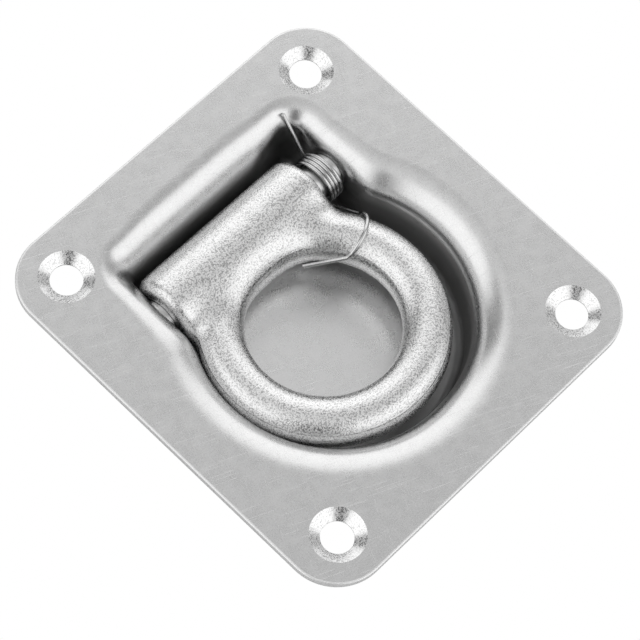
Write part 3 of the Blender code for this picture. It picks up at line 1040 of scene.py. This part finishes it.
@dataclass(frozen=True)
class ForgedRing:
    """The forging: a round bar in a ring that runs into a bored barrel.

    It is worked out in its own frame: the eye's centre at the origin, the barrel at +Y, +Z up. Its skin is
    found along rays from the middle of each section round the eye. The flash was trimmed off its sides up
    to trim_half above and below the parting plane, which leaves a small step and a lip.
    """

    hinge: Hinge
    centre_x: float
    bar: float = 6.5 * MM
    ring: float = 26.4 * MM
    barrel: float = 10.2 * MM
    barrel_half: float = 26.1 * MM
    barrel_off_centre: float = 0.6 * MM
    barrel_edge: float = 2.7 * MM
    blend: float = 5.0 * MM
    centre_to_pin: float = 31.0 * MM
    lift: float = radians(4.0)
    bore: float = 5.3 * MM
    trim_half: float = 3.5 * MM
    trim_edge: float = 0.25 * MM
    trim_step: float = 0.14 * MM
    trim_lip: float = 0.05 * MM
    waviness: float = 0.07 * MM
    long_wave: float = 9.0 * MM
    short_wave: float = 4.0 * MM
    short_wave_share: float = 0.5
    sharp_degrees: float = 60.0
    rear_sections: int = 24
    shoulder_sections: int = 72
    front_sections: int = 72
    sections_before_end: float = radians(4.0)
    sections_after_end: float = radians(6.0)
    coarse_turn: float = radians(3.0)
    fine_turn: float = radians(1.0)
    fine_turns: int = 5
    leave_barrel_at: float = 0.5
    halvings: int = 40

    @staticmethod
    def from_frame(hinge: Hinge) -> "ForgedRing":
        """A ring centred where the frame's is."""
        low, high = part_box("ring")
        return ForgedRing(hinge, (low.x + high.x) / 2)

    @property
    def barrel_end_angle(self) -> float:
        """The angle round the eye, from the rear, of the barrel's near end corner."""
        return atan2(self.barrel_half, self.centre_to_pin - self.barrel)

    def distance(self, points: np.ndarray) -> np.ndarray:
        """Distance to the smooth union of bar and barrel.

        Args:
            points: Where it is measured, in the ring's own frame.

        Returns:
            The distances, negative inside.
        """
        x, y, z = points[..., 0], points[..., 1], points[..., 2]
        bar = np.hypot(np.hypot(x, y) - self.ring, z) - self.bar
        across = np.hypot(y - self.centre_to_pin, z) - (self.barrel - self.barrel_edge)
        along = np.abs(x + self.barrel_off_centre) - (self.barrel_half - self.barrel_edge)
        outside = np.hypot(np.maximum(across, 0.0), np.maximum(along, 0.0))
        barrel = np.minimum(np.maximum(across, along), 0.0) + outside - self.barrel_edge
        share = np.clip(0.5 + 0.5 * (barrel - bar) / self.blend, 0.0, 1.0)
        return barrel + (bar - barrel) * share - self.blend * share * (1.0 - share)

    def round_eye(self) -> np.ndarray:
        """Where the sections lie, closest where the bar meets the barrel's ends.

        Returns:
            Angles round the eye from the rear.
        """
        far_end = atan2(self.barrel_half, self.centre_to_pin + self.barrel)
        start = far_end - self.sections_before_end
        finish = self.barrel_end_angle + self.sections_after_end
        runs = [
            (0.0, start, self.rear_sections),
            (start, finish, self.shoulder_sections),
            (finish, pi, self.front_sections),
        ]
        half = np.concatenate([np.linspace(*run, endpoint=False) for run in runs])
        return np.concatenate([half, [pi], 2 * pi - half[:0:-1]])

    def round_bar(self) -> np.ndarray:
        """Where a section's points lie, closest near the bar's trim lines.

        Returns:
            Angles round the section from its outer side.
        """
        line = asin(self.trim_half / self.bar)
        lines = np.array([line, pi - line, pi + line, 2 * pi - line])
        offsets = self.fine_turn * np.arange(-self.fine_turns, self.fine_turns + 1)
        fine = (lines[:, None] + offsets).ravel()
        coarse = np.arange(0.0, 2 * pi, self.coarse_turn)
        apart = np.abs(coarse[:, None] - lines).min(axis=1) > (self.fine_turns + 1) * self.fine_turn
        return np.sort(np.concatenate([fine, coarse[apart]]))

    def section_centres(self, angles: np.ndarray) -> np.ndarray:
        """Where the middle of each section lies: on the barrel's axis at the rear, then on the bar's.

        Args:
            angles: The sections' angles round the eye.

        Returns:
            Distances from the eye's centre.
        """
        from_rear = np.minimum(angles, 2 * pi - angles)
        near_end = self.barrel_end_angle
        share = (from_rear / near_end - self.leave_barrel_at) / (1.0 - self.leave_barrel_at)
        share = np.clip(share, 0.0, 1.0)
        share = share * share * (3.0 - 2.0 * share)
        on_barrel = self.centre_to_pin / np.cos(np.minimum(from_rear, near_end))
        return (1.0 - share) * on_barrel + share * self.ring

    def sections(self) -> np.ndarray:
        """The forging's skin in the ring's own frame.

        Returns:
            Points, one row for each section.
        """
        angles = self.round_eye()
        turns = self.round_bar()
        outwards = np.stack([np.sin(angles), np.cos(angles), np.zeros(len(angles))], axis=-1)
        centres = outwards * self.section_centres(angles)[:, None]
        upwards = np.array([0.0, 0.0, 1.0])
        rays = np.cos(turns)[None, :, None] * outwards[:, None, :] + np.sin(turns)[None, :, None] * upwards
        inner = np.zeros(rays.shape[:2])
        outer = np.full(rays.shape[:2], 2 * self.barrel_half)
        for _ in range(self.halvings):
            middle = (inner + outer) / 2
            inside = self.distance(centres[:, None, :] + middle[..., None] * rays) < 0
            inner = np.where(inside, middle, inner)
            outer = np.where(inside, outer, middle)
        reach = inner + self.skin(inner * np.sin(turns)[None, :])
        points = centres[:, None, :] + reach[..., None] * rays
        return points + rays * self._waves(points)[..., None]

    def skin(self, heights: np.ndarray) -> np.ndarray:
        """How far the trimmed sides are set in, with a lip along each trim line.

        Args:
            heights: How far each point lies above the parting plane.

        Returns:
            An offset for each point.
        """
        past_line = (np.abs(heights) - self.trim_half) / self.trim_edge
        side = np.clip(0.5 - past_line, 0.0, 1.0)
        lip = np.exp(-(past_line**2))
        return self.trim_lip * lip - self.trim_step * side

    def _waves(self, points: np.ndarray) -> np.ndarray:
        """The slight unevenness of a hammered skin.

        Args:
            points: Where it is wanted.

        Returns:
            An offset for each point.
        """
        heights = []
        for point in points.reshape(-1, 3):
            long_wave = noise.noise(Vector(point / self.long_wave))
            heights.append(long_wave + self.short_wave_share * noise.noise(Vector(point / self.short_wave)))
        return self.waviness * np.array(heights).reshape(points.shape[:2])

    def placed(self, points: np.ndarray) -> np.ndarray:
        """Moves points from the ring's own frame to where it lies.

        Args:
            points: The points in the ring's own frame.

        Returns:
            The points in the row frame.
        """
        y = points[..., 1] - self.centre_to_pin
        z = points[..., 2]
        along = self.hinge.y + y * cos(self.lift) + z * sin(self.lift)
        height = self.hinge.z - y * sin(self.lift) + z * cos(self.lift)
        return np.stack([points[..., 0] + self.centre_x, along, height], axis=-1)

    def build(self) -> bpy.types.Object:
        """Makes the ring and dresses it.

        Returns:
            The piece that stands for the frame's ring.
        """
        surface = Surface()
        loops = [surface.loop(row) for row in self.placed(self.sections())]
        surface.chain(loops + loops[:1])
        piece = surface.piece("forged_ring", self.sharp_degrees)
        hinge_point = Vector((self.centre_x, self.hinge.y, self.hinge.z))
        bored(piece, hinge_point, self.bore, 4 * self.barrel_half, self.sharp_degrees)
        piece.data.materials.append(ForgedZinc().material())
        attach(piece, Body.RING.value)
        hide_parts("ring")
        return piece


@dataclass(frozen=True)
class PivotPin:
    """The pin, with a low head outside each wall of the recess."""

    hinge: Hinge
    half_length: float
    head_radius: float = 5.7 * MM
    head_thickness: float = 2.4 * MM
    head_round: float = 0.9 * MM
    crown_steps: int = 8
    sides: int = 96

    @staticmethod
    def from_frame(hinge: Hinge) -> "PivotPin":
        """A pin as long as the frame's."""
        low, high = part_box("pivot_pin")
        return PivotPin(hinge, (high.x - low.x) / 2)

    def profile(self) -> list[tuple[float, float]]:
        """The pin's outline along its axis.

        Returns:
            (x, radius) pairs from the left end to the right end.
        """
        wall = self.half_length - self.head_thickness
        crown = []
        for i in range(self.crown_steps + 1):
            slope = pi / 2 * i / self.crown_steps
            x = self.half_length - self.head_round * (1 - sin(slope))
            crown.append((x, self.head_radius - self.head_round * (1 - cos(slope))))
        right = [(wall, self.hinge.pin_radius), (wall, self.head_radius), *crown]
        return [(-x, radius) for x, radius in reversed(right)] + right

    def build(self) -> bpy.types.Object:
        """Makes the pin and dresses it.

        Returns:
            The piece that stands for the frame's pin.
        """
        surface = Surface()
        loops = []
        for x, radius in self.profile():
            circle = arc((self.hinge.y, self.hinge.z), radius, 0.0, 2 * pi, self.sides)[:-1]
            loops.append(surface.loop([(x, y, z) for y, z in circle]))
        surface.chain(loops)
        surface.cap(loops[0])
        surface.cap(loops[-1])
        piece = surface.piece("hinge_pin")
        piece.data.materials.append(PIN_ZINC.material())
        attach(piece, Body.PAN.value)
        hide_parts("pivot_pin")
        return piece


@dataclass(frozen=True)
class TorsionSpring:
    """The spring: a rear leg on the shoulder, close turns on the pin, a hook over the ring's bar.

    Each point of the hook is given by degrees round the eye, degrees round the bar and how far it stands off
    the bar beyond the wire that seats on it.
    """

    pan: PressedPan
    ring: ForgedRing
    wire: float = 0.55 * MM
    coil: float = 6.35 * MM
    pitch: float = 1.13 * MM
    full_turns: int = 4
    steps_per_turn: int = 72
    hook_rise: float = radians(36.0)
    leg_past_shoulder: float = 1.7 * MM
    leg_in_corner: float = 2.0 * MM
    leg_clearance: float = 0.5 * MM
    coil_to_wall: float = 1.0 * MM
    seat_gap: float = 0.3 * MM
    hook_bend: tuple[tuple[float, float, float], ...] = (
        (28.0, 2.0, 0.5 * MM),
        (26.4, 26.0, 0.1 * MM),
        (23.0, 56.0, 0.0),
        (20.9, 88.0, 0.0),
        (21.0, 116.0, 0.0),
        (23.2, 141.0, 0.0),
        (27.2, 160.0, 0.1 * MM),
    )
    hook_tip: tuple[float, float, float] = (61.8, 174.0, 1.5 * MM)
    hook_steps: int = 14
    following_lean: float = 0.12
    following_turns: float = 0.3

    @property
    def wall_end_x(self) -> float:
        """Where the coil starts, beside the pan's wall."""
        return self.pan.side_wall - self.coil_to_wall - self.wire

    def rear_leg(self) -> tuple[float, Vector]:
        """The rear leg, a straight tangent from the coil to the shoulder.

        Returns:
            Its slope in radians and the middle of its tip.
        """
        pan, hinge = self.pan, self.pan.hinge
        round_corner = pan.rear_corner + pan.shoulder_offset(pan.corner_shoulder)
        shoulder_y = pan.rear_wall - pan.rear_corner + sqrt(round_corner**2 - self.leg_in_corner**2)
        shoulder_z = pan.height - pan.corner_shoulder
        standoff = pan.corner_shoulder + self.leg_clearance + self.wire
        rise = atan2(shoulder_z - hinge.z, shoulder_y - hinge.y)
        span = hypot(shoulder_y - hinge.y, shoulder_z - hinge.z)
        slope = rise + asin((self.coil + standoff) / span)
        tip_x = pan.side_wall - pan.rear_corner + self.leg_in_corner
        tip_y = shoulder_y - standoff * sin(slope) + self.leg_past_shoulder * cos(slope)
        tip_z = shoulder_z + standoff * cos(slope) + self.leg_past_shoulder * sin(slope)
        return slope, Vector((tip_x, tip_y, tip_z))

    def coil_points(self, slope: float) -> list[Vector]:
        """The coil's turns.

        Args:
            slope: The rear leg's slope in radians.

        Returns:
            Points along the wire's middle from the wall towards the barrel.
        """
        hinge = self.pan.hinge
        start = slope - pi / 2
        finish = -pi / 2 - self.hook_rise - 2 * pi * self.full_turns
        steps = ceil((start - finish) / (2 * pi) * self.steps_per_turn)
        points = []
        for i in range(steps + 1):
            angle = start + (finish - start) * i / steps
            x = self.wall_end_x + self.pitch * (angle - start) / (2 * pi)
            points.append(Vector((x, hinge.y + self.coil * cos(angle), hinge.z + self.coil * sin(angle))))
        return points

    def beside_bar(self, azimuth: float, round_bar: float, standoff: float) -> Vector:
        """A point beside the bar.

        Args:
            azimuth: Degrees round the eye from +X.
            round_bar: Degrees round the bar, 0 outside, 90 on top and 180 in the eye.
            standoff: How far the point stands off the bar beyond a wire that seats on it.

        Returns:
            The point where the ring lies.
        """
        from_middle = self.ring.bar + self.seat_gap + self.wire + standoff
        radius = self.ring.ring + from_middle * cos(radians(round_bar))
        height = from_middle * sin(radians(round_bar))
        local = (radius * cos(radians(azimuth)), radius * sin(radians(azimuth)), height)
        return Vector(self.ring.placed(np.array(local)))

    def hook_points(self, coil_end: Vector) -> list[Vector]:
        """The hook over the bar and its straight tip in the eye.

        Args:
            coil_end: The coil's last point, where the hook's leg comes from.

        Returns:
            Points along the wire's middle.
        """
        bend = [self.beside_bar(*place) for place in self.hook_bend]
        tip = self.beside_bar(*self.hook_tip)
        lead_in = bend[0] + (coil_end - bend[0]).normalized() * (bend[1] - bend[0]).length
        lead_out = bend[-1] + (tip - bend[-1]).normalized() * (bend[-1] - bend[-2]).length
        return smooth_run([lead_in, *bend, lead_out], self.hook_steps) + [tip]

    def build(self) -> bpy.types.Object:
        """Makes the spring and dresses it.

        Returns:
            The piece that stands for the frame's spring.
        """
        slope, tip = self.rear_leg()
        coil = self.coil_points(slope)
        piece = swept_wire("spring", [tip, *coil, *self.hook_points(coil[-1])], self.wire)
        piece.data.materials.append(SPRING_WIRE.material())
        start = Vector((self.wall_end_x, self.pan.hinge.y, self.pan.hinge.z))
        towards_ring = Vector((-1.0, -self.following_lean, 0.0))
        end = start + towards_ring * self.pitch * (self.full_turns - self.following_turns)
        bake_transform(piece)
        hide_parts("torsion_spring")
        return piece


def smooth_run(points: Sequence[Vector], steps: int) -> list[Vector]:
    """A smooth curve through points.

    Args:
        points: The points, of which the first and the last only give the curve's direction.
        steps: How many pieces the curve has between two points.

    Returns:
        Points along the curve.
    """
    curve = []
    for a, b, c, d in zip(points, points[1:], points[2:], points[3:]):
        for i in range(steps):
            t = i / steps
            bend = (2 * a - 5 * b + 4 * c - d) * t**2 + (3 * b - a - 3 * c + d) * t**3
            curve.append(0.5 * (2 * b + (c - a) * t + bend))
    return curve + [points[-2]]


def swept_wire(name: str, path: Sequence[Vector], radius: float, sides: int = 16) -> bpy.types.Object:
    """A round wire along a path, cut square at both ends.

    Args:
        name: The piece's name.
        path: Points along its middle.
        radius: Half its thickness.
        sides: Points round it.

    Returns:
        The new object.
    """
    surface = Surface()
    tangents = [(b - a).normalized() for a, b in zip([path[0], *path], [*path[1:], path[-1]])]
    inner_tangents = [(a + b).normalized() for a, b in zip(tangents[1:-1], tangents[2:])]
    tangents = tangents[:1] + inner_tangents + tangents[-1:]
    normal = tangents[0].orthogonal().normalized()
    turns = [2 * pi * i / sides for i in range(sides)]
    loops = []
    for point, tangent in zip(path, tangents):
        normal = (normal - tangent * normal.dot(tangent)).normalized()
        side = tangent.cross(normal)
        loops.append(surface.loop([point + (normal * cos(a) + side * sin(a)) * radius for a in turns]))
    surface.chain(loops)
    surface.cap(loops[0])
    surface.cap(loops[-1])
    return surface.piece(name)


@dataclass(frozen=True)
class PhotoCamera:
    """The camera, as the photograph's perspective gives it."""

    deck_height: float
    azimuth: float = radians(-57.81)
    elevation: float = radians(65.46)
    roll: float = radians(13.06)
    distance: float = 704.7 * MM
    target_x: float = -5.45 * MM
    target_y: float = -4.72 * MM
    focal_px: float = 2821.1

    def build(self) -> bpy.types.Object:
        """Makes the scene's camera.

        Returns:
            The camera.
        """
        level = cos(self.elevation)
        back = Vector((sin(self.azimuth) * level, -cos(self.azimuth) * level, sin(self.elevation)))
        level_right = (-back).cross(Vector((0.0, 0.0, 1.0))).normalized()
        level_up = level_right.cross(-back)
        right = level_right * cos(self.roll) + level_up * sin(self.roll)
        up = level_up * cos(self.roll) - level_right * sin(self.roll)
        data = bpy.data.cameras.new("photo_camera")
        data.sensor_width = SENSOR_WIDTH_MM
        data.lens = self.focal_px / PHOTO_WIDTH_PX * SENSOR_WIDTH_MM
        camera = linked("photo_camera", data)
        place = Vector((self.target_x, self.target_y, self.deck_height)) + back * self.distance
        axes = Matrix((right, up, back)).transposed()
        camera.matrix_world = Matrix.Translation(place) @ axes.to_4x4()
        bpy.context.scene.camera = camera
        return camera


@dataclass(frozen=True)
class TentGap:
    """A dark upright gap between two bright sheets of the tent."""

    azimuth: float
    half_width: float
    level: float
    softness: float = radians(14.0)


@dataclass(frozen=True)
class Studio:
    """A white floor inside a light tent: bright sheets all round, gaps between them, dimmer overhead."""

    floor_size: float = 4.0
    floor_grey: float = 0.68
    sides: float = 1.28
    overhead: float = 0.65
    overhead_slope: float = 0.42
    overhead_brighter_towards: float = radians(155.0)
    overhead_inner: float = radians(28.0)
    overhead_outer: float = radians(40.0)
    gaps: tuple[TentGap, ...] = (
        TentGap(radians(218.0), radians(20.0), 0.16, radians(24.0)),
        TentGap(radians(-16.0), radians(14.0), 0.42, radians(22.0)),
        TentGap(radians(101.0), radians(14.0), 0.25),
    )

    def build(self) -> None:
        """Makes the floor and the light."""
        self._floor()
        self._tent()
        bpy.context.scene.view_settings.view_transform = "Standard"

    def _floor(self) -> None:
        """A plain floor that the camera sees as white."""
        bm = bmesh.new()
        bmesh.ops.create_grid(bm, x_segments=1, y_segments=1, size=self.floor_size / 2)
        mesh = ended("floor", bm)
        floor = linked("floor", mesh)
        material = bpy.data.materials.new("floor_paper")
        material.use_nodes = True
        graph = Graph(material.node_tree)
        paper = graph.add("ShaderNodeBsdfDiffuse", inputs={"Color": grey(self.floor_grey)})
        white = graph.add("ShaderNodeEmission", inputs={"Color": grey(1.0), "Strength": 1.0})
        rays = graph.add("ShaderNodeLightPath", output="Is Camera Ray")
        graph.finish(graph.add("ShaderNodeMixShader", inputs={0: rays, 1: paper, 2: white}))
        mesh.materials.append(material)

    def _tent(self) -> None:
        """The world: white to the camera, the tent to everything else."""
        world = bpy.data.worlds.new("tent")
        bpy.context.scene.world = world
        world.use_nodes = True
        graph = Graph(world.node_tree)
        direction = graph.add("ShaderNodeTexCoord", output="Generated")
        level = self._level(graph, direction)
        tent = graph.add("ShaderNodeBackground", inputs={"Color": level, "Strength": 1.0})
        white = graph.add("ShaderNodeBackground", inputs={"Color": grey(1.0), "Strength": 1.0})
        camera_ray = graph.add("ShaderNodeLightPath", output="Is Camera Ray")
        shown = graph.add("ShaderNodeMixShader", inputs={0: camera_ray, 1: tent, 2: white})
        graph.finish(shown, "ShaderNodeOutputWorld")

    def _level(self, graph: Graph, direction: Signal) -> Signal:
        """The tent's brightness in a direction.

        Args:
            graph: The world's node tree.
            direction: The direction.

        Returns:
            The brightness.
        """
        upwards = graph.dot(direction, (0.0, 0.0, 1.0))
        overhead = graph.between(upwards, cos(self.overhead_outer), cos(self.overhead_inner))
        brighter = self.overhead_brighter_towards
        top = self.overhead + self.overhead_slope * graph.dot(direction, (cos(brighter), sin(brighter), 0.0))
        level_direction = graph.stretched(direction, (1.0, 1.0, 0.0))
        outwards = graph.add("ShaderNodeVectorMath", {"operation": "NORMALIZE"}, {0: level_direction})
        sheets: Number = self.sides
        for gap in self.gaps:
            along = graph.dot(outwards, (cos(gap.azimuth), sin(gap.azimuth), 0.0))
            outer = cos(gap.half_width + gap.softness / 2)
            inner = cos(gap.half_width - gap.softness / 2)
            sheets = sheets - graph.between(along, outer, inner, 0.0, self.sides - gap.level)
        return sheets * (1.0 - overhead) + top * overhead


def main() -> None:
    """Builds the part, the studio and the camera."""
    logging.basicConfig(level=logging.INFO, format="%(name)s: %(message)s")
    hinge = Hinge.from_frame()
    pan = PressedPan.from_frame(hinge)
    ring = ForgedRing.from_frame(hinge)
    for maker in (pan, ring, PivotPin.from_frame(hinge), TorsionSpring(pan, ring)):
        piece = maker.build()
        log.info("%s has %d faces", piece.name, len(piece.data.polygons))
    Studio().build()
    PhotoCamera(pan.height).build()


if __name__ == "__main__":
    main()
